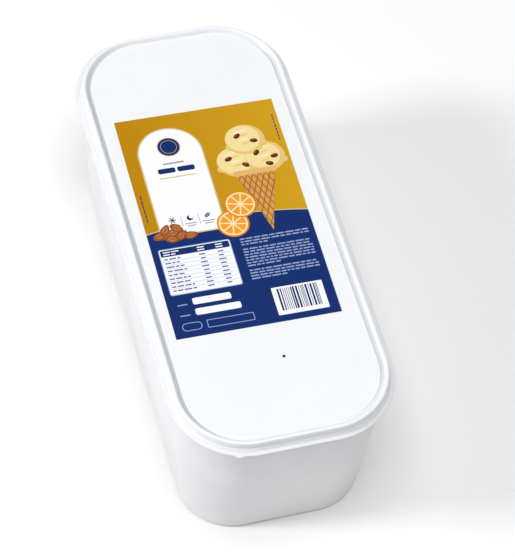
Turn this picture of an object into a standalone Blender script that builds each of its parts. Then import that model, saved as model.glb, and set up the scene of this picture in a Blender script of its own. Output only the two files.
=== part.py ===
"""
Five-litre catering ice cream tub: a tapered white tub, its press-fit lid and a printed film label.

Metres, +Z up. The tub stands on Z 0 with its length along Y, centred on the origin.
Every outline is one rounded rectangle moved in or out, so all corner arcs share four centres.
A profile point is an inset, measured inwards from the lid's outermost edge, and a height.
"""
from math import cos, radians, sin, tan

import bmesh
import bpy
from mathutils import Matrix, Vector

# Driving dimensions of the closed pack
LID_LENGTH = 0.3633            # over the lid's lip, along Y
LID_WIDTH = 0.1574             # over the lid's lip, along X
LID_CORNER_RADIUS = 0.0519     # of the lip, seen from above
PANEL_HEIGHT = 0.1236          # the lid's flat panel above the table
GAP = 0.0003                   # between pieces that touch
SIDE_GAP = 0.0004              # between the tub's wall and the lid round it

# Lid, insets from its outermost edge and drops below its panel
LID_WALL = 0.0010              # thickness of the moulded sheet
LIP_INSET = 0.0027             # where the lip begins
LIP_DROP = 0.00535             # the lip's upper face at its root
LIP_UPTURN = 0.0005            # its outer edge stands this much higher
LIP_THICKNESS = 0.0008
RIM_OUTER_INSET = 0.0050       # foot of the rim's outer wall
RIM_WALL_DROP = 0.0035
RIM_OVERHANG = 0.0003          # the rim's outer wall leans out by this much at the top
RIM_RISE = 0.0022              # the rim's rounded top above the panel
RIM_INNER_INSET = 0.0071
GROOVE_OUTER_INSET = 0.0092
GROOVE_INNER_INSET = 0.0104
GROOVE_DEPTH = 0.0006
PANEL_INSET = 0.0110           # where the flat panel begins
NIB_REACH = 0.0018             # a small nib on the lip at the near left corner, to lift the lid by
NIB_ANGLE = radians(73)        # from the X axis, round that corner

# Tub
WALL_TOP_INSET = 0.0052        # outer wall at the lid's lip
BASE_INSET = 0.0135            # outer wall carried down to the table
BASE_EDGE_RADIUS = 0.0045
TUB_TOP_DROP = 0.0049          # upper edge below the lid's panel

# Label
LABEL_WIDTH = 0.1162
LABEL_LENGTH = 0.1896
LABEL_THICKNESS = 0.0003
LABEL_CENTRE = (-0.0012, 0.0088)
LABEL_TURN = radians(-0.8)     # laid a little askew, seen from above
LABEL_NAVY_SHARE = 0.47        # near part of its length in the darker colour

# Fineness
CORNER_STEPS = 16              # facets in each quarter turn of an outline
FILLET_STEPS = 3               # facets in each small rounding of a profile

CENTRE_X = LID_WIDTH / 2 - LID_CORNER_RADIUS
CENTRE_Y = LID_LENGTH / 2 - LID_CORNER_RADIUS


def clear_scene():
    """Empty the file that the script runs in."""
    for obj in list(bpy.data.objects):
        bpy.data.objects.remove(obj)


def plastic(name, colour, roughness):
    """Principled material of one colour."""
    material = bpy.data.materials.new(name)
    material.use_nodes = True
    shader = material.node_tree.nodes["Principled BSDF"]
    shader.inputs["Base Color"].default_value = (*colour, 1)
    shader.inputs["Roughness"].default_value = roughness
    shader.inputs["Metallic"].default_value = 0
    material.diffuse_color = (*colour, 1)
    return material


def filleted(corners):
    """Turn (inset, height, radius) corners into a profile whose corners are short tangent arcs."""
    profile = []
    for index, (inset, height, radius) in enumerate(corners):
        corner = Vector((inset, height))
        if radius == 0:
            profile.append(corner)
            continue
        before = (Vector(corners[index - 1][:2]) - corner).normalized()
        after = (Vector(corners[index + 1][:2]) - corner).normalized()
        half_angle = before.angle(after) / 2
        centre = corner + (before + after).normalized() * (radius / sin(half_angle))
        reach = radius / tan(half_angle)
        start = corner + before * reach - centre
        end = corner + after * reach - centre
        turn = -start.angle_signed(end)
        for step in range(FILLET_STEPS + 1):
            profile.append(centre + Matrix.Rotation(turn * step / FILLET_STEPS, 2) @ start)
    return profile


def swept_solid(name, profile, material):
    """Carry an open profile round the rounded rectangle, then close its two end loops with flat faces."""
    bm = bmesh.new()
    start_x = LID_WIDTH / 2
    verts = [bm.verts.new((start_x - inset, -CENTRE_Y, height)) for inset, height in profile]
    chain = verts + [bm.edges.new(pair) for pair in zip(verts, verts[1:])]
    straight_runs = (
        ((0, 2 * CENTRE_Y, 0), (CENTRE_X, CENTRE_Y, 0)),
        ((-2 * CENTRE_X, 0, 0), (-CENTRE_X, CENTRE_Y, 0)),
        ((0, -2 * CENTRE_Y, 0), (-CENTRE_X, -CENTRE_Y, 0)),
        ((2 * CENTRE_X, 0, 0), (CENTRE_X, -CENTRE_Y, 0)),
    )
    for run, corner_centre in straight_runs:
        edges = [item for item in chain if isinstance(item, bmesh.types.BMEdge)]
        grown = bmesh.ops.extrude_edge_only(bm, edges=edges)["geom"]
        moved = [item for item in grown if isinstance(item, bmesh.types.BMVert)]
        bmesh.ops.translate(bm, verts=moved, vec=run)
        chain = moved + [edge for edge in grown if isinstance(edge, bmesh.types.BMEdge)
                         and all(vert in moved for vert in edge.verts)]
        turned = bmesh.ops.spin(bm, geom=chain, cent=corner_centre, axis=(0, 0, 1),
                                angle=radians(90), steps=CORNER_STEPS)
        chain = turned["geom_last"]
    bmesh.ops.remove_doubles(bm, verts=bm.verts, dist=1e-6)
    bmesh.ops.holes_fill(bm, edges=bm.edges, sides=0)
    bmesh.ops.recalc_face_normals(bm, faces=bm.faces)
    return finished(name, bm, [material])


def finished(name, bm, materials):
    """Make the mesh an object in the tub's collection, smooth apart from its true edges."""
    mesh = bpy.data.meshes.new(name)
    bm.to_mesh(mesh)
    bm.free()
    for material in materials:
        mesh.materials.append(material)
    mesh.shade_smooth()
    mesh.set_sharp_from_angle(angle=radians(35))
    obj = bpy.data.objects.new(name, mesh)
    collection.objects.link(obj)
    return obj


def make_tub():
    """The tub as a solid block: straight tapered walls, a small radius at the foot."""
    top = PANEL_HEIGHT - TUB_TOP_DROP
    corners = (
        (WALL_TOP_INSET, top, 0),
        (BASE_INSET, 0, BASE_EDGE_RADIUS),
        (BASE_INSET + 2 * BASE_EDGE_RADIUS, 0, 0),
    )
    return swept_solid("tub", filleted(corners), plastic("tub_plastic", (0.86, 0.87, 0.89), 0.35))


def make_lid():
    """The lid: flat panel, groove, rounded rim, skirt and lip, with an even wall below."""
    lip_under = LIP_DROP + LIP_THICKNESS
    lip_edge = LIP_DROP - LIP_UPTURN
    ledge = RIM_WALL_DROP + LID_WALL
    groove_under = GROOVE_DEPTH + LID_WALL
    skirt_inside = WALL_TOP_INSET - SIDE_GAP
    rim_inside = RIM_OUTER_INSET + LID_WALL
    corners = (
        (PANEL_INSET, 0, 0),
        (GROOVE_INNER_INSET, -GROOVE_DEPTH, 0),
        (GROOVE_OUTER_INSET, -GROOVE_DEPTH, 0.0008),
        (RIM_INNER_INSET, RIM_RISE, 0.0008),
        (RIM_OUTER_INSET - RIM_OVERHANG, RIM_RISE, 0.0009),
        (RIM_OUTER_INSET, -RIM_WALL_DROP, 0.0006),
        (LIP_INSET, -LIP_DROP, 0.0005),
        (0, -lip_edge, 0.0003),
        (0, -lip_edge - LIP_THICKNESS, 0.0003),
        (LIP_INSET, -lip_under, 0),
        (skirt_inside, -lip_under, 0),
        (skirt_inside, -ledge, 0),
        (rim_inside, -ledge, 0),
        (rim_inside, -groove_under, 0),
        (PANEL_INSET + LID_WALL / 2, -groove_under, 0),
        (PANEL_INSET + LID_WALL, -LID_WALL, 0),
    )
    raised = [(inset, PANEL_HEIGHT + height, radius) for inset, height, radius in corners]
    lid = swept_solid("lid", filleted(raised), plastic("lid_plastic", (0.92, 0.93, 0.95), 0.3))
    pull_nib(lid.data)
    return lid


def pull_nib(mesh):
    """Draw the lip's edge out to a small point at the near left corner."""
    centre = Vector((-CENTRE_X, -CENTRE_Y))
    outward = Vector((-cos(NIB_ANGLE), -sin(NIB_ANGLE)))
    for vert in mesh.vertices:
        arm = vert.co.xy - centre
        on_edge = arm.length > LID_CORNER_RADIUS - LIP_INSET / 2
        if on_edge and arm.angle(outward) < radians(90) / CORNER_STEPS / 2:
            vert.co.xy += arm.normalized() * NIB_REACH


def make_label():
    """The label film on the lid's panel, printed in two fields that meet across its width."""
    bm = bmesh.new()
    bmesh.ops.create_cube(bm, size=1)
    bmesh.ops.scale(bm, verts=bm.verts, vec=(LABEL_WIDTH, LABEL_LENGTH, LABEL_THICKNESS))
    border = (LABEL_NAVY_SHARE - 0.5) * LABEL_LENGTH
    bmesh.ops.bisect_plane(bm, geom=bm.verts[:] + bm.edges[:] + bm.faces[:],
                           plane_co=(0, border, 0), plane_no=(0, 1, 0))
    for face in bm.faces:
        face.material_index = 1 if face.calc_center_median().y < border else 0
    height = PANEL_HEIGHT + GAP + LABEL_THICKNESS / 2
    place = Matrix.Translation((*LABEL_CENTRE, height)) @ Matrix.Rotation(LABEL_TURN, 4, "Z")
    bmesh.ops.transform(bm, matrix=place, verts=bm.verts)
    gold = plastic("label_gold", (0.56, 0.33, 0.02), 0.4)
    navy = plastic("label_navy", (0.01, 0.03, 0.14), 0.4)
    return finished("label", bm, [gold, navy])


clear_scene()
collection = bpy.data.collections.new("ice_cream_tub")
bpy.context.scene.collection.children.link(collection)
make_tub()
make_lid()
make_label()
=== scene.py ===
import random
from math import cos, pi, radians, sin, tan

import bmesh
import bpy
from mathutils import Matrix, Vector


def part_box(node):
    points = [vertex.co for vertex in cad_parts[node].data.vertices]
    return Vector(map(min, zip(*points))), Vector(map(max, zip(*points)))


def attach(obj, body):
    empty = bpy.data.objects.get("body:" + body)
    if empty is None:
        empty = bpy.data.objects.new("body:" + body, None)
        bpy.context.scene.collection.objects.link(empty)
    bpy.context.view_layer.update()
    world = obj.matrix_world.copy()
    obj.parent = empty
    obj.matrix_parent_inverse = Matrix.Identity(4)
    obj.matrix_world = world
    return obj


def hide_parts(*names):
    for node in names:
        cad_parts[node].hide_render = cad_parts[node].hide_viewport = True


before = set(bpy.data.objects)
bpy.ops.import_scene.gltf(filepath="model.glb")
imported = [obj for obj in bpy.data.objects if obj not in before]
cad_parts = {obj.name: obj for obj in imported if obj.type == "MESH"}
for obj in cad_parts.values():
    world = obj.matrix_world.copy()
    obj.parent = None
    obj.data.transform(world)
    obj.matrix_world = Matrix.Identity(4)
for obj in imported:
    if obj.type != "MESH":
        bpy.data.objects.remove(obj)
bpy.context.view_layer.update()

scene = bpy.context.scene
scene.view_settings.view_transform = "Standard"

# The camera stands above and a little to the left of the tub's near end, as the photo was taken.
# Its place, turn and long lens were worked out from the lid's groove and the tub's silhouette.
CAMERA_PLACE = Vector((-0.36547, -0.98600, 1.54322))
CAMERA_TURN = Matrix((
    (0.961043, 0.175573, -0.213472),
    (-0.265701, 0.799628, -0.538515),
    (0.076149, 0.574256, 0.815127),
))
LENS_MM = 164.23
SENSOR_MM = 36
NEAREST = 0.05
FARTHEST = 20

camera_data = bpy.data.cameras.new("camera")
camera_data.lens = LENS_MM
camera_data.sensor_width = SENSOR_MM
camera_data.clip_start = NEAREST
camera_data.clip_end = FARTHEST
camera = bpy.data.objects.new("camera", camera_data)
camera.matrix_world = Matrix.Translation(CAMERA_PLACE) @ CAMERA_TURN.to_4x4()
scene.collection.objects.link(camera)
scene.camera = camera


# Soft studio light: a pale room, a small softbox on the tub's left, which is the lit side in the photo,
# and a broad one overhead.
ROOM_COLOUR = (0.97, 0.98, 1.0)
ROOM_STRENGTH = 0.21
KEY_PLACE = (-3.45, 0.30, 2.1)
KEY_SIZE = 0.8
KEY_WATTS = 77
OVERHEAD_PLACE = (0, -0.6, 4.2)
OVERHEAD_SIZE = 3.2
OVERHEAD_WATTS = 127
AIM = Vector((0, 0, 0.1))


def softbox(name, place, size, watts):
    """A square area light aimed at the tub."""
    data = bpy.data.lights.new(name, "AREA")
    data.size = size
    data.energy = watts
    light = bpy.data.objects.new(name, data)
    light.location = place
    light.rotation_euler = (AIM - light.location).to_track_quat("-Z", "Y").to_euler()
    scene.collection.objects.link(light)


room = bpy.data.worlds.new("room")
room.use_nodes = True
room.node_tree.nodes["Background"].inputs["Color"].default_value = (*ROOM_COLOUR, 1)
room.node_tree.nodes["Background"].inputs["Strength"].default_value = ROOM_STRENGTH
scene.world = room
softbox("key", KEY_PLACE, KEY_SIZE, KEY_WATTS)
softbox("overhead", OVERHEAD_PLACE, OVERHEAD_SIZE, OVERHEAD_WATTS)


# The floor: a wide white sheet of photographer's paper that the tub stands on.
# It has a faint tooth of fibres and hardly any gloss.
FLOOR_SIZE = 6.0
FLOOR_COLOUR = (0.98, 0.98, 0.98)
FLOOR_ROUGHNESS = 0.9
FIBRE_SCALE = 600
FIBRE_BUMP = 0.1
FIBRE_HEIGHT = 0.0002
SHARP_ANGLE = radians(30)


def principled(name, colour, roughness):
    """A material with one Principled shader, its node tree and that shader."""
    material = bpy.data.materials.new(name)
    material.use_nodes = True
    tree = material.node_tree
    shader = tree.nodes["Principled BSDF"]
    shader.inputs["Base Color"].default_value = (*colour, 1)
    shader.inputs["Roughness"].default_value = roughness
    return material, tree, shader


def add_node(tree, kind, **sockets):
    """Add a shader node and set its input sockets by name."""
    node = tree.nodes.new(kind)
    for name, value in sockets.items():
        node.inputs[name.replace("_", " ")].default_value = value
    return node


def roughened(tree, shader, place, scale, strength, height):
    """Make a surface a little uneven with noise on the object's own coordinates."""
    noise = add_node(tree, "ShaderNodeTexNoise", Scale=scale, Detail=2, Roughness=0.5)
    bump = add_node(tree, "ShaderNodeBump", Strength=strength, Distance=height)
    tree.links.new(place.outputs["Object"], noise.inputs["Vector"])
    tree.links.new(noise.outputs["Fac"], bump.inputs["Height"])
    tree.links.new(bump.outputs["Normal"], shader.inputs["Normal"])


def finished(name, bm, material):
    """Make the finished mesh an object at the origin, smooth apart from its true edges."""
    mesh = bpy.data.meshes.new(name)
    bm.to_mesh(mesh)
    bm.free()
    mesh.materials.append(material)
    mesh.shade_smooth()
    mesh.set_sharp_from_angle(angle=SHARP_ANGLE)
    piece = bpy.data.objects.new(name, mesh)
    scene.collection.objects.link(piece)
    return piece


bm = bmesh.new()
bmesh.ops.create_grid(bm, x_segments=1, y_segments=1, size=FLOOR_SIZE / 2)
paper, tree, shader = principled("paper", FLOOR_COLOUR, FLOOR_ROUGHNESS)
place = tree.nodes.new("ShaderNodeTexCoord")
roughened(tree, shader, place, FIBRE_SCALE, FIBRE_BUMP, FIBRE_HEIGHT)
floor = finished("floor", bm, paper)


# The tub: one injection-moulded box of white polypropylene, tapered so that empty ones nest.
# Its walls are a little milky, so the frozen block behind them shows as a soft, cloudy tone.
CORNER_STEPS = 32
FILLET_STEPS = 5
MERGE_DISTANCE = 1e-6
LIP_RADIUS = 0.0519
BASE_INSET = 0.0135
BASE_EDGE_RADIUS = 0.0045
TOP_EDGE_WIDTH = 0.0012
TOP_EDGE_RADIUS = 0.0004
TUB_LIGHT = (0.805, 0.808, 0.815)
TUB_DARK = (0.75, 0.753, 0.763)
TUB_ROUGHNESS = 0.38
CLOUD_SCALE = 22
CLOUD_RANGE = (0.35, 0.65)
TOOTH_SCALE = 900
TOOTH_BUMP = 0.08
TOOTH_HEIGHT = 0.0002
PLASTIC_IOR = 1.49
SCATTER_SHARE = 0.15
SCATTER_DEPTH = 0.0008

tub_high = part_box("tub")[1]
lid_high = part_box("lid")[1]
CENTRE_X = lid_high.x - LIP_RADIUS
CENTRE_Y = lid_high.y - LIP_RADIUS
WALL_TOP_INSET = lid_high.x - tub_high.x


def filleted(corners):
    """Turn (inset, height, radius) corners into a profile whose corners are short tangent arcs."""
    profile = []
    for index, (inset, height, radius) in enumerate(corners):
        corner = Vector((inset, height))
        if radius == 0:
            profile.append(corner)
            continue
        before = (Vector(corners[index - 1][:2]) - corner).normalized()
        after = (Vector(corners[index + 1][:2]) - corner).normalized()
        half_angle = before.angle(after) / 2
        centre = corner + (before + after).normalized() * (radius / sin(half_angle))
        reach = radius / tan(half_angle)
        start = corner + before * reach - centre
        end = corner + after * reach - centre
        turn = -start.angle_signed(end)
        for step in range(FILLET_STEPS + 1):
            profile.append(centre + Matrix.Rotation(turn * step / FILLET_STEPS, 2) @ start)
    return profile


def swept(profile):
    """Carry a profile of insets and heights round the rounded rectangle and close its two end loops."""
    bm = bmesh.new()
    verts = [bm.verts.new((lid_high.x - inset, -CENTRE_Y, height)) for inset, height in profile]
    chain = verts + [bm.edges.new(pair) for pair in zip(verts, verts[1:])]
    straight_runs = (
        ((0, 2 * CENTRE_Y, 0), (CENTRE_X, CENTRE_Y, 0)),
        ((-2 * CENTRE_X, 0, 0), (-CENTRE_X, CENTRE_Y, 0)),
        ((0, -2 * CENTRE_Y, 0), (-CENTRE_X, -CENTRE_Y, 0)),
        ((2 * CENTRE_X, 0, 0), (CENTRE_X, -CENTRE_Y, 0)),
    )
    for run, corner_centre in straight_runs:
        edges = [item for item in chain if isinstance(item, bmesh.types.BMEdge)]
        grown = bmesh.ops.extrude_edge_only(bm, edges=edges)["geom"]
        moved = [item for item in grown if isinstance(item, bmesh.types.BMVert)]
        bmesh.ops.translate(bm, verts=moved, vec=run)
        chain = moved + [item for item in grown if isinstance(item, bmesh.types.BMEdge)
                         and all(vert in moved for vert in item.verts)]
        chain = bmesh.ops.spin(bm, geom=chain, cent=corner_centre, axis=(0, 0, 1),
                               angle=radians(90), steps=CORNER_STEPS)["geom_last"]
    bmesh.ops.remove_doubles(bm, verts=bm.verts, dist=MERGE_DISTANCE)
    bmesh.ops.holes_fill(bm, edges=bm.edges, sides=0)
    bmesh.ops.recalc_face_normals(bm, faces=bm.faces)
    return bm


def ramp(tree, value, low, high, start=0.0, end=1.0):
    """A colour between two, as a value runs from start to end."""
    tones = tree.nodes.new("ShaderNodeValToRGB")
    for element, position, colour in zip(tones.color_ramp.elements, (start, end), (low, high)):
        element.position = position
        element.color = (*colour, 1)
    tree.links.new(value, tones.inputs["Fac"])
    return tones.outputs["Color"]


def milky_plastic(name, light, dark, roughness):
    """White polypropylene: a faint cloudy tone, fine tooth on a satin skin, and a little depth."""
    material, tree, shader = principled(name, light, roughness)
    place = tree.nodes.new("ShaderNodeTexCoord")
    clouds = add_node(tree, "ShaderNodeTexNoise", Scale=CLOUD_SCALE, Detail=3, Roughness=0.55)
    tree.links.new(place.outputs["Object"], clouds.inputs["Vector"])
    tone = ramp(tree, clouds.outputs["Fac"], dark, light, *CLOUD_RANGE)
    tree.links.new(tone, shader.inputs["Base Color"])
    roughened(tree, shader, place, TOOTH_SCALE, TOOTH_BUMP, TOOTH_HEIGHT)
    shader.inputs["IOR"].default_value = PLASTIC_IOR
    shader.inputs["Subsurface Weight"].default_value = SCATTER_SHARE
    shader.inputs["Subsurface Radius"].default_value = (1.0, 1.0, 1.0)
    shader.inputs["Subsurface Scale"].default_value = SCATTER_DEPTH
    return material


tub_profile = filleted((
    (WALL_TOP_INSET + TOP_EDGE_WIDTH, tub_high.z, 0),
    (WALL_TOP_INSET, tub_high.z, TOP_EDGE_RADIUS),
    (BASE_INSET, 0, BASE_EDGE_RADIUS),
    (BASE_INSET + 2 * BASE_EDGE_RADIUS, 0, 0),
))
tub_white = milky_plastic("tub_white", TUB_LIGHT, TUB_DARK, TUB_ROUGHNESS)
tub = finished("tub_body", swept(tub_profile), tub_white)
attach(tub, "root")
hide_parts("tub")


# The lid: a press-fit cap moulded in the same white plastic. A groove runs round its flat panel, then
# a rounded rim over the tub's wall, a short skirt and a thin lip to pull it off by. Painted shade
# darkens the groove, most along the sides, and the lip: there the plastic's colour is multiplied by
# grey.
LID_WALL = 0.0010
SIDE_GAP = 0.0004
PANEL = 0.1236
LIP_INSET = 0.0027
LIP_DROP = 0.00535
LIP_UPTURN = 0.0005
LIP_THICKNESS = 0.0008
RIM_OUTER_INSET = 0.0050
RIM_WALL_DROP = 0.0035
RIM_OVERHANG = 0.0003
RIM_RISE = 0.0022
RIM_INNER_INSET = 0.0071
GROOVE_OUTER_INSET = 0.0092
GROOVE_INNER_INSET = 0.0104
GROOVE_DEPTH = 0.0006
PANEL_INSET = 0.0110
NIB_REACH = 0.0018
NIB_ANGLE = radians(73)
NIB_HALF_WIDTH = radians(4)
# Painted shade: the greys that darken the groove and the lip, and where they lie
GROOVE_SHADE = Vector((0.70, 0.735, 0.745))
GROOVE_END_SHARE = 0.25
GROOVE_FALL = 3
GROOVE_SHADE_START = GROOVE_OUTER_INSET - 0.0004
GROOVE_SHADE_END = GROOVE_INNER_INSET + 0.0002
LIP_SHADE = Vector((0.86, 0.86, 0.85))
LIP_SHADE_WIDTH = LIP_INSET * 1.2
WHITE = Vector((1, 1, 1))
LID_LIGHT = (0.90, 0.91, 0.94)
LID_DARK = (0.885, 0.895, 0.925)
LID_ROUGHNESS = 0.33
PANEL_MARGIN = 0.002


def multiplied(tree, first, second):
    """The product of two colours."""
    product = tree.nodes.new("ShaderNodeMix")
    product.data_type = "RGBA"
    product.blend_type = "MULTIPLY"
    product.inputs["Factor"].default_value = 1
    tree.links.new(first, product.inputs["A"])
    tree.links.new(second, product.inputs["B"])
    return product.outputs["Result"]


lip_under = LIP_DROP + LIP_THICKNESS
lip_edge = LIP_DROP - LIP_UPTURN
ledge = RIM_WALL_DROP + LID_WALL
groove_under = GROOVE_DEPTH + LID_WALL
# Each corner of the profile: its inset, its height above the panel and its rounding
lid_corners = (
    (PANEL_INSET + PANEL_MARGIN, 0, 0),
    (PANEL_INSET, 0, 0.0003),
    (GROOVE_INNER_INSET, -GROOVE_DEPTH, 0.0003),
    (GROOVE_OUTER_INSET, -GROOVE_DEPTH, 0.0008),
    (RIM_INNER_INSET, RIM_RISE, 0.0008),
    (RIM_OUTER_INSET - RIM_OVERHANG, RIM_RISE, 0.0009),
    (RIM_OUTER_INSET, -RIM_WALL_DROP, 0.0006),
    (LIP_INSET, -LIP_DROP, 0.0005),
    (0, -lip_edge, 0.0003),
    (0, -lip_edge - LIP_THICKNESS, 0.0003),
    (LIP_INSET, -lip_under, 0),
    (WALL_TOP_INSET - SIDE_GAP, -lip_under, 0.0002),
    (WALL_TOP_INSET - SIDE_GAP, -ledge, 0.0002),
    (RIM_OUTER_INSET + LID_WALL, -ledge, 0),
    (RIM_OUTER_INSET + LID_WALL, -groove_under, 0),
    (PANEL_INSET + LID_WALL / 2, -groove_under, 0),
    (PANEL_INSET + LID_WALL, -LID_WALL, 0),
)
raised = [(inset, PANEL + height, radius) for inset, height, radius in lid_corners]
bm = swept(filleted(raised))
# Painted shade, kept at each vertex: grey-teal in the groove, strongest along the two sides, and grey on
# the lip
shade_layer = bm.verts.layers.float_color.new("painted_shade")
nib_centre = Vector((-CENTRE_X, -CENTRE_Y))
nib_outward = Vector((-cos(NIB_ANGLE), -sin(NIB_ANGLE)))
for vert in bm.verts:
    corner_arm = Vector((max(abs(vert.co.x) - CENTRE_X, 0), max(abs(vert.co.y) - CENTRE_Y, 0)))
    inset = LIP_RADIUS - corner_arm.length
    colour = WHITE
    if inset < LIP_SHADE_WIDTH:
        colour = LIP_SHADE
    elif GROOVE_SHADE_START < inset < GROOVE_SHADE_END:
        sideways = (corner_arm.x / corner_arm.length) ** GROOVE_FALL
        colour = WHITE.lerp(GROOVE_SHADE, GROOVE_END_SHARE + (1 - GROOVE_END_SHARE) * sideways)
    vert[shade_layer] = (*colour, 1)
    nib_arm = vert.co.xy - nib_centre
    if nib_arm.length > LIP_RADIUS - LIP_INSET / 2:
        share = max(0, 1 - nib_arm.angle(nib_outward) / NIB_HALF_WIDTH)
        vert.co.xy += nib_arm.normalized() * NIB_REACH * share

lid_white = milky_plastic("lid_white", LID_LIGHT, LID_DARK, LID_ROUGHNESS)
tree = lid_white.node_tree
colour_socket = tree.nodes["Principled BSDF"].inputs["Base Color"]
# The lid's colour is multiplied by the painted shade layer
painted_shade = tree.nodes.new("ShaderNodeAttribute")
painted_shade.attribute_name = "painted_shade"
shaded_colour = multiplied(tree, colour_socket.links[0].from_socket, painted_shade.outputs["Color"])
tree.links.new(shaded_colour, colour_socket)
lid = finished("lid_cap", bm, lid_white)
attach(lid, "root")
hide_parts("lid")


# The label: a rectangle of white film stuck on the panel a little askew, ochre above and navy below.
# Its print is a generic design: fields of colour, simple shapes, and bars and dashes like text.
# Each colour is a thin solid of ink, stacked in the order in which it was printed. Sizes are in mm.
MM = 0.001
LABEL_WIDTH = 116.2
LABEL_LENGTH = 189.6
LABEL_PLACE = Matrix.Translation((-0.0012, 0.0088, PANEL)) @ Matrix.Rotation(radians(-0.8), 4, "Z")
FILM_LIFT = 0.05
FILM_THICKNESS = 0.10
INK_THICKNESS = 0.03
NAVY_RADIUS = 300.0
NAVY_TOP = -1.0
LINE_WIDTH = 0.9
INK_ROUGHNESS = 0.42
INK_SPECULAR = 0.12
GRAIN_DARK = (0.90, 0.90, 0.90)
GRAIN_RANGE = (0.3, 0.7)
GRAIN_SCALE = 1500
WAVE_SCALE = 45
WAVE_BUMP = 0.12
WAVE_HEIGHT = 0.0006
CORNER_SEGMENTS = 12
ARC_SEGMENTS = 720


def srgb(red, green, blue):
    """Screen colour, 0 to 255, as the linear values that a shader takes."""
    return tuple(((value / 255 + 0.055) / 1.055) ** 2.4 for value in (red, green, blue))


def ink(name, colour, far_colour=None):
    """Printed film: grainy ink under a skin that isn't quite flat; its colour may run across the label
    from one side to the other.
    """
    material, tree, shader = principled(name, colour, INK_ROUGHNESS)
    shader.inputs["Specular IOR Level"].default_value = INK_SPECULAR
    place = tree.nodes.new("ShaderNodeTexCoord")
    split = tree.nodes.new("ShaderNodeSeparateXYZ")
    half_width = LABEL_WIDTH * MM / 2
    across = add_node(tree, "ShaderNodeMapRange", From_Min=-half_width, From_Max=half_width)
    dots = add_node(tree, "ShaderNodeTexNoise", Scale=GRAIN_SCALE, Detail=2, Roughness=0.6)
    tree.links.new(place.outputs["Object"], split.inputs["Vector"])
    tree.links.new(split.outputs["X"], across.inputs["Value"])
    tree.links.new(place.outputs["Object"], dots.inputs["Vector"])
    fade = ramp(tree, across.outputs["Result"], colour, far_colour or colour)
    grain = ramp(tree, dots.outputs["Fac"], GRAIN_DARK, WHITE, *GRAIN_RANGE)
    tree.links.new(multiplied(tree, fade, grain), shader.inputs["Base Color"])
    roughened(tree, shader, place, WAVE_SCALE, WAVE_BUMP, WAVE_HEIGHT)
    return material


def card(width, height, radius=0, corners=None):
    """A flat rectangle in mm, centred, with some or all of its corners rounded."""
    bm = bmesh.new()
    bmesh.ops.create_grid(bm, x_segments=1, y_segments=1, size=0.5)
    bmesh.ops.scale(bm, verts=bm.verts, vec=(width, height, 1))
    if radius:
        rounded = [vert for vert in bm.verts if corners is None or corners(vert.co)]
        bmesh.ops.bevel(bm, geom=rounded, offset=radius, segments=CORNER_SEGMENTS, profile=0.5,
                        affect="VERTICES", material=-1)
    return bm


def disc(width, height, steps=48):
    """A flat ellipse in mm, centred."""
    bm = bmesh.new()
    bmesh.ops.create_circle(bm, cap_ends=True, segments=steps, radius=0.5)
    bmesh.ops.scale(bm, verts=bm.verts, vec=(width, height, 1))
    return bm


def clipped(bm, point, outward):
    """Cut a flat shape along a line and keep the side that outward points away from."""
    bmesh.ops.bisect_plane(bm, geom=bm.verts[:] + bm.edges[:] + bm.faces[:], plane_co=(*point, 0),
                           plane_no=(*outward, 0), clear_outer=True)
    return bm


def put(sheet, shape, layer, colour, place=(0, 0), turn=0):
    """Add a flat shape to a printed piece as a film of ink that lies on the layer below it."""
    low = FILM_LIFT + FILM_THICKNESS + INK_THICKNESS * (layer - 1)
    thick = INK_THICKNESS
    if layer == 0:
        low, thick = FILM_LIFT, FILM_THICKNESS
    for face in shape.faces:
        face.material_index = colour
    grown = bmesh.ops.extrude_face_region(shape, geom=shape.faces[:])["geom"]
    top = [item for item in grown if isinstance(item, bmesh.types.BMVert)]
    bmesh.ops.translate(shape, verts=top, vec=(0, 0, thick))
    where = Matrix.Translation((*place, low)) @ Matrix.Rotation(radians(turn), 4, "Z")
    bmesh.ops.transform(shape, matrix=LABEL_PLACE @ Matrix.Scale(MM, 4) @ where, verts=shape.verts)
    bmesh.ops.recalc_face_normals(shape, faces=shape.faces)
    mesh = bpy.data.meshes.new("shape")
    shape.to_mesh(mesh)
    shape.free()
    sheet.from_mesh(mesh)
    bpy.data.meshes.remove(mesh)


def printed(name, sheet, inks):
    """Finish a printed piece of the label and let it stand for the label's solid."""
    piece = finished(name, sheet, inks[0])
    for extra in inks[1:]:
        piece.data.materials.append(extra)
    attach(piece, "root")
    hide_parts("label")


def navy_field(radius):
    """The part of the label below a shallow arc."""
    shape = disc(2 * radius, 2 * radius, ARC_SEGMENTS)
    clipped(shape, (LABEL_WIDTH / 2, 0), (1, 0))
    clipped(shape, (-LABEL_WIDTH / 2, 0), (-1, 0))
    return clipped(shape, (0, NAVY_RADIUS - NAVY_TOP - LABEL_LENGTH / 2), (0, -1))


# The ochre runs from darker at the label's left edge to lighter at its right
ochre = ink("ink_ochre", srgb(189, 135, 3), srgb(210, 161, 28))
navy = ink("ink_navy", srgb(18, 47, 110))
white = ink("ink_white", srgb(252, 252, 254))
sand = ink("ink_sand", srgb(214, 198, 152))
pale = ink("ink_pale", srgb(150, 166, 208))

sheet = bmesh.new()
put(sheet, card(LABEL_WIDTH, LABEL_LENGTH), 0, 0)
put(sheet, navy_field(NAVY_RADIUS + LINE_WIDTH), 1, 2, (0, NAVY_TOP - NAVY_RADIUS))
put(sheet, navy_field(NAVY_RADIUS), 2, 1, (0, NAVY_TOP - NAVY_RADIUS))
printed("label_fields", sheet, (ochre, navy, sand))


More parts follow.
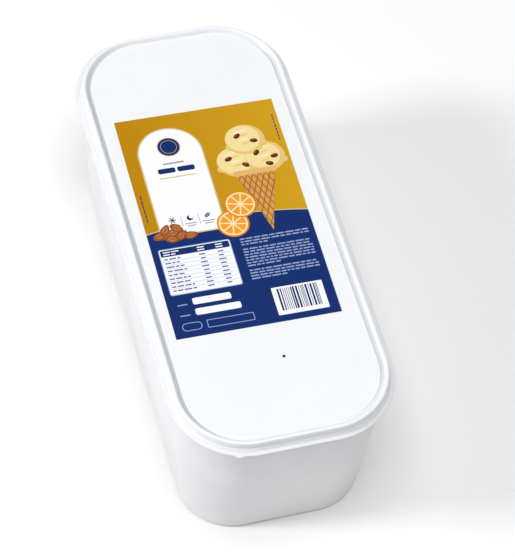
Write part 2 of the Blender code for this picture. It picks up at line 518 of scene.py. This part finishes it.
# The plate printed on the label, left of its middle: a white arch with a fine sand-coloured edge.
# It carries a blank roundel, a few bars and three little signs, all of flat ink.
PLATE_CENTRE = (-25, 36)
PLATE_SIZE = (45, 92)
PLATE_EDGE = 1.1
ROUNDEL_ALONG = 66
ROUNDEL_RINGS = ((17, 5, 0), (15.6, 6, 2), (11.8, 7, 4), (11.2, 8, 2))     # diameter, layer, colour
SIGN_PITCH = 12.5
SIGN_ALONG = 2.5
SIGN_RULE = (0.4, 9.0)
STAR_ARM = (5.2, 0.7)
MOON_SIZE = 4.4
MOON_CUT_SIZE = 3.0
MOON_CUT_SHIFT = (1.0, 0.8)
LEAF_SIZE = (5.4, 2.6)
LEAF_VEIN = (6.4, 0.35)
LEAF_TURN = 40
SIGN_LINES = ((8.6, -2.2), (6.2, -4.2))                    # width, place along
SIGN_LINE_HEIGHT = 0.8

sheet = bmesh.new()
for margin, layer, colour in ((PLATE_EDGE, 3, 0), (0, 4, 1)):
    width, height = PLATE_SIZE[0] + 2 * margin, PLATE_SIZE[1] + 2 * margin
    arch = card(width, height, width / 2 - 0.1, lambda corner: corner.y > 0)
    put(sheet, arch, layer, colour, PLATE_CENTRE)
for size, layer, colour in ROUNDEL_RINGS:
    put(sheet, disc(size, size), layer, colour, (PLATE_CENTRE[0], ROUNDEL_ALONG))
# Each bar: its place across from the plate's middle and along the label, its width, height and colour
bars = (
    (0, 51.5, 15, 1.3, 3),
    (-6.2, 45.5, 12.5, 4.4, 2),
    (7.8, 45.5, 12.5, 4.4, 2),
    (0, 39.2, 26, 0.9, 4),
)
for across_mm, along_mm, width, height, colour in bars:
    place_mm = (PLATE_CENTRE[0] + across_mm, along_mm)
    put(sheet, card(width, height, height * 0.3), 5, colour, place_mm)
for index in range(3):
    sign_place = (PLATE_CENTRE[0] + SIGN_PITCH * (index - 1), SIGN_ALONG)
    if index == 0:
        for turn in (0, 60, 120):
            put(sheet, card(*STAR_ARM), 5 + turn // 60, 2, sign_place, turn)
    elif index == 1:
        cut_place = (sign_place[0] + MOON_CUT_SHIFT[0], sign_place[1] + MOON_CUT_SHIFT[1])
        put(sheet, disc(MOON_SIZE, MOON_SIZE), 5, 2, sign_place)
        put(sheet, disc(MOON_CUT_SIZE, MOON_CUT_SIZE), 6, 1, cut_place)
    else:
        put(sheet, disc(*LEAF_SIZE), 5, 2, sign_place, LEAF_TURN)
        put(sheet, card(*LEAF_VEIN), 6, 1, sign_place, LEAF_TURN)
    for width, along_mm in SIGN_LINES:
        put(sheet, card(width, SIGN_LINE_HEIGHT), 5, 3, (sign_place[0], along_mm))
for index in (-0.5, 0.5):
    put(sheet, card(*SIGN_RULE), 5, 3, (PLATE_CENTRE[0] + SIGN_PITCH * index, 0.2))
grey = ink("ink_grey", srgb(150, 156, 172))
gilt = ink("ink_gilt", srgb(222, 190, 110))
printed("label_plate", sheet, (sand, white, navy, grey, gilt))


# The picture printed at the label's right: a waffle cone with a crossed lattice and a thicker rim,
# and three scoops of cream ice with dark raisins, drawn flat in a few inks.
CONE_TIP = (30, -19)
CONE_LENGTH = 52
CONE_HALF_WIDTH = 14.5
CONE_LATTICE = 4.4
LATTICE_TURN = 24
LATTICE_WIDTH = 0.8
STRIP_LENGTH = 120
CONE_RIM_HEIGHT = 4.6
SCOOP_SIZE = 29
SCOOP_SQUASH = 0.92
SCOOP_LIGHT_SHARE = (0.86, 0.80)
SCOOPS = ((19.5, 44, 2), (40.5, 45, 4), (30, 62, 6))       # across, along, layer
LOBE_PITCH = 4.1
LOBE_SIZE = (6.4, 5.4)
RAISIN_SIZE = (5.6, 3.6)
RAISIN_SHINE = (2.6, 0.9)


def cone_clip(shape):
    """Trim a flat shape to the cone's outline, whose tip is at the origin."""
    slope = Vector((CONE_LENGTH, CONE_HALF_WIDTH)).normalized()
    for side in (-1, 1):
        clipped(shape, (0, 0), (side * slope.x, -slope.y))
    return clipped(shape, (0, CONE_LENGTH), (0, 1))


sheet = bmesh.new()
put(sheet, cone_clip(card(STRIP_LENGTH / 2, STRIP_LENGTH)), 3, 0, CONE_TIP)
for layer, turn in ((4, LATTICE_TURN), (5, -LATTICE_TURN)):
    for index in range(-8, 9):
        strip = card(LATTICE_WIDTH, STRIP_LENGTH)
        bmesh.ops.rotate(strip, verts=strip.verts, matrix=Matrix.Rotation(radians(turn), 3, "Z"))
        bmesh.ops.translate(strip, verts=strip.verts, vec=(index * CONE_LATTICE, CONE_LENGTH / 2, 0))
        cone_clip(strip)
        if strip.faces:
            put(sheet, strip, layer, 1, CONE_TIP)
cone_rim = card(2 * CONE_HALF_WIDTH + 2.5, CONE_RIM_HEIGHT, 1.6)
put(sheet, cone_rim, 6, 2, (CONE_TIP[0], CONE_TIP[1] + CONE_LENGTH))
cone_inks = (ink("ink_waffle", srgb(218, 160, 84)), ink("ink_crust", srgb(168, 104, 44)),
             ink("ink_rim", srgb(232, 184, 112)))
printed("label_cone", sheet, cone_inks)

sheet = bmesh.new()
for across_mm, along_mm, layer in SCOOPS:
    put(sheet, disc(SCOOP_SIZE, SCOOP_SIZE * SCOOP_SQUASH), layer, 0, (across_mm, along_mm))
    for index in range(-3, 4):
        lobe_along = along_mm - 8.6 + 0.32 * index ** 2 + (index % 2) * 0.8
        lobe = (across_mm + index * LOBE_PITCH, lobe_along)
        put(sheet, disc(*LOBE_SIZE, 20), layer + 0.1 * (index + 4), 0, lobe)
    light_part = disc(SCOOP_SIZE * SCOOP_LIGHT_SHARE[0], SCOOP_SIZE * SCOOP_LIGHT_SHARE[1])
    put(sheet, light_part, layer + 1, 1, (across_mm - 1.4, along_mm + 1.0))
    for index in range(4):
        put(sheet, disc(13 - 2 * index, 1.2, 24), layer + 1.2, 2 if index % 2 == 0 else 0,
            (across_mm - 3 + index, along_mm + 7.5 - 3.6 * index), 12)
# Each raisin: its place across and along, and its turn
raisins = (
    (14, 47, 20),
    (25, 40, -35),
    (35, 49, 50),
    (47, 44, 10),
    (42, 38, -20),
    (25, 66, 35),
    (36, 60, -10),
)
for across_mm, along_mm, turn in raisins:
    put(sheet, disc(*RAISIN_SIZE, 24), 9, 3, (across_mm, along_mm), turn)
    put(sheet, disc(*RAISIN_SHINE, 16), 9.2, 4, (across_mm - 0.5, along_mm + 0.7), turn)
scoop_inks = (ink("ink_cream_dark", srgb(233, 200, 122)), ink("ink_cream", srgb(247, 224, 158)),
              ink("ink_cream_light", srgb(253, 242, 205)), ink("ink_raisin", srgb(94, 42, 18)),
              ink("ink_raisin_light", srgb(160, 92, 48)))
printed("label_scoops", sheet, scoop_inks)


# Fruit and nuts printed at the plate's foot: two slices of orange, each a disc of peel, a paler disc
# and eight segments, and a few almonds that overlap.
SLICE_SIZE = 23
SLICES = ((3.5, -8.3, 5), (12.5, 7.0, 7))                  # across, along, layer
PITH_SHARE = 0.89
FLESH_SHARE = 0.76
SEGMENTS = 8
SEGMENT_GAP = 1.1
SEGMENT_SHIFT = 0.3
NUT_SIZE = (10.5, 6.4)
NUT_SHORTEST = 0.6
NUT_TAPER = 0.35
NUT_RINGS = ((1, 5, 0), (0.62, 5.3, 1), (0.16, 5.5, 0))    # share of the nut's width, layer, colour

sheet = bmesh.new()
for across_mm, along_mm, layer in SLICES:
    put(sheet, disc(SLICE_SIZE, SLICE_SIZE), layer, 0, (across_mm, along_mm))
    pith = disc(SLICE_SIZE * PITH_SHARE, SLICE_SIZE * PITH_SHARE)
    put(sheet, pith, layer + 0.5, 1, (across_mm, along_mm))
    for index in range(SEGMENTS):
        turn = 360 / SEGMENTS * index + 10
        wedge = disc(SLICE_SIZE * FLESH_SHARE, SLICE_SIZE * FLESH_SHARE)
        for side in (-1, 1):
            clipped(wedge, (SEGMENT_GAP, 0), (-sin(pi / SEGMENTS), side * cos(pi / SEGMENTS)))
        shift = Vector((cos(radians(turn)), sin(radians(turn)))) * SEGMENT_SHIFT
        put(sheet, wedge, layer + 1, 2, (across_mm + shift.x, along_mm + shift.y), turn)
orange_inks = (ink("ink_peel", srgb(236, 132, 20)), ink("ink_pith", srgb(253, 232, 182)),
               ink("ink_flesh", srgb(247, 160, 44)))
printed("label_orange", sheet, orange_inks)

sheet = bmesh.new()
# Each almond: its place across and along, and its turn
almonds = (
    (-45.3, -9.3, 20),
    (-49, -9, 25),
    (-41, -13, -15),
    (-44.5, -5, 60),
    (-39.5, -8, 10),
    (-34, -11, 40),
    (-36, -4.5, -40),
    (-27.5, -12, 5),
)
for index, (across_mm, along_mm, turn) in enumerate(almonds):
    for size, layer, colour in NUT_RINGS:
        length = NUT_SIZE[0] * max(size, NUT_SHORTEST)
        nut = disc(length, NUT_SIZE[1] * size, 36)
        for vert in nut.verts:
            vert.co.y *= 1 - NUT_TAPER * max(0, vert.co.x / (length / 2))
        put(sheet, nut, layer + 0.7 * (index % 4) + 0.02 * index, colour, (across_mm, along_mm), turn)
almond_inks = (ink("ink_nut", srgb(150, 84, 40)), ink("ink_nut_light", srgb(190, 122, 66)))
printed("label_almonds", sheet, almond_inks)


# The small print on the navy field: a table at the left, dashes in lines like text, two bars, two
# frames and a block of upright bars. The dashes' lengths come from a seeded draw.
TABLE_CENTRE = (-28, -40)
TABLE_SIZE = (50, 38)
TABLE_ROWS = 9
TABLE_BORDER = 1.2
HEAD_HEIGHT = 5.4
TABLE_RULE = 0.22
TEXT_HEIGHT = 1.1
SMALL_TEXT_HEIGHT = 0.9
LINE_PITCH = 2.35
COLUMNS = (29, 42)                                         # from the table's left edge
TEXT_BLOCKS = ((-22.6, 3), (-31.4, 7), (-49.5, 4))         # top, number of lines
TEXT_START = 4.5
TEXT_END = 53.5
DASH_LENGTHS = (1.8, 6.5)
DASH_GAP = 0.9
BARS = ((-66.6, 27), (-75.4, 32))                          # along, length
BAR_LEFT = -40
BAR_HEIGHT = 5.4
FRAMES = ((-45, 14), (-18, 33))                            # across, width
FRAME_ALONG = -86.4
FRAME_HEIGHT = 6.6
FRAME_BORDER = 1.2
CODE_SIZE = (36, 23)
CODE_CENTRE = (33, -78.2)
CODE_BAR_HEIGHT = 18.2
CODE_BAR_WIDTHS = (0.45, 0.45, 0.9, 1.35)
CODE_GAPS = (0.45, 0.9, 0.9)
CODE_SPAN = (18.5, 47.5)
CODE_BAR_ALONG = -77.2
EDGE_TEXT = ((-54.6, 4, 28), (54.6, 57, 79))               # across, bottom, top
EDGE_TEXT_HEIGHT = 0.7
EDGE_DASH_LENGTHS = (1.5, 4.0)
EDGE_DASH_GAP = 0.8

draw = random.Random(7)


def text_line(sheet, start, end, along_mm, height, colour):
    """One line of print as a run of dashes of word-like lengths."""
    across_mm = start
    while across_mm < end - 1.5:
        length = min(draw.uniform(*DASH_LENGTHS), end - across_mm)
        put(sheet, card(length, height), 4, colour, (across_mm + length / 2, along_mm))
        across_mm += length + DASH_GAP


sheet = bmesh.new()
border = card(TABLE_SIZE[0] + TABLE_BORDER, TABLE_SIZE[1] + TABLE_BORDER, 1.8)
put(sheet, border, 3, 1, TABLE_CENTRE)
put(sheet, card(*TABLE_SIZE, 1.3), 3.4, 0, TABLE_CENTRE)
head = TABLE_CENTRE[1] + TABLE_SIZE[1] / 2
left = TABLE_CENTRE[0] - TABLE_SIZE[0] / 2
head_field = card(TABLE_SIZE[0] - TABLE_BORDER, HEAD_HEIGHT, 0.8)
put(sheet, head_field, 3.7, 2, (TABLE_CENTRE[0], head - 3.3))
row_pitch = (TABLE_SIZE[1] - 8.0) / TABLE_ROWS
for row in range(TABLE_ROWS):
    along_mm = head - 8.2 - row_pitch * row
    text_line(sheet, left + 2.2, left + draw.uniform(12, 21), along_mm, TEXT_HEIGHT, 3)
    for column in COLUMNS:
        put(sheet, card(draw.uniform(3.4, 5.4), TEXT_HEIGHT), 4, 3, (left + column, along_mm))
    if row:
        rule = card(TABLE_SIZE[0] - 2 * TABLE_BORDER, TABLE_RULE)
        put(sheet, rule, 4, 1, (TABLE_CENTRE[0], along_mm + row_pitch / 2))
for along_mm, start, end in ((head - 2.3, 2.4, 15), (head - 4.4, 2.4, 11)):
    text_line(sheet, left + start, left + end, along_mm, SMALL_TEXT_HEIGHT, 0)
    for column in COLUMNS:
        put(sheet, card(5, SMALL_TEXT_HEIGHT), 4, 0, (left + column, along_mm))

for block_top, lines in TEXT_BLOCKS:
    for line in range(lines):
        end = TEXT_END if line < lines - 1 else draw.uniform(22, 44)
        text_line(sheet, TEXT_START, end, block_top - LINE_PITCH * line, TEXT_HEIGHT, 1)

for along_mm, length in BARS:
    put(sheet, card(length, BAR_HEIGHT, 1.4), 4, 0, (BAR_LEFT + length / 2, along_mm))
    put(sheet, card(7, SMALL_TEXT_HEIGHT), 4, 1, (-47.5, along_mm - 1.6))
for across_mm, width in FRAMES:
    rounding, rounding_inside = (3.2, 2.6) if width < 20 else (0.8, 0.5)
    inside = card(width - FRAME_BORDER, FRAME_HEIGHT - FRAME_BORDER, rounding_inside)
    put(sheet, card(width, FRAME_HEIGHT, rounding), 4, 1, (across_mm, FRAME_ALONG))
    put(sheet, inside, 4.3, 2, (across_mm, FRAME_ALONG))
    start, end = across_mm - width / 2 + 3, across_mm + width / 2 - 3
    text_line(sheet, start, end, FRAME_ALONG, SMALL_TEXT_HEIGHT, 1)

put(sheet, card(*CODE_SIZE, 0.8), 4, 0, CODE_CENTRE)
across_mm = CODE_SPAN[0]
while across_mm < CODE_SPAN[1]:
    width = draw.choice(CODE_BAR_WIDTHS)
    put(sheet, card(width, CODE_BAR_HEIGHT), 4.4, 2, (across_mm + width / 2, CODE_BAR_ALONG))
    across_mm += width + draw.choice(CODE_GAPS)
for across_mm, bottom, top in EDGE_TEXT:
    along_mm = bottom
    while along_mm < top:
        length = draw.uniform(*EDGE_DASH_LENGTHS)
        put(sheet, card(EDGE_TEXT_HEIGHT, length), 4, 2, (across_mm, along_mm + length / 2))
        along_mm += length + EDGE_DASH_GAP
text_blue = ink("ink_text", srgb(92, 108, 160))
printed("label_small_print", sheet, (white, pale, navy, text_blue))


# A small navy dot printed on the lid's bare panel, between the label and the near end.
# It is a thin disc of ink straight on the plastic.
DOT_PLACE = (0.0068, -0.1134)
DOT_SIZE = 2.2
DOT_THICKNESS = 4e-5
DOT_LIFT = 2e-5

bm = bmesh.new()
bmesh.ops.create_circle(bm, cap_ends=True, segments=32, radius=DOT_SIZE * MM / 2)
grown = bmesh.ops.extrude_face_region(bm, geom=bm.faces[:])["geom"]
dot_top = [item for item in grown if isinstance(item, bmesh.types.BMVert)]
bmesh.ops.translate(bm, verts=dot_top, vec=(0, 0, DOT_THICKNESS))
bmesh.ops.translate(bm, verts=bm.verts, vec=(*DOT_PLACE, PANEL + DOT_LIFT))
bmesh.ops.recalc_face_normals(bm, faces=bm.faces)
dot = finished("printed_dot", bm, ink("ink_dot", srgb(24, 40, 92)))
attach(dot, "root")
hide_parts("label")
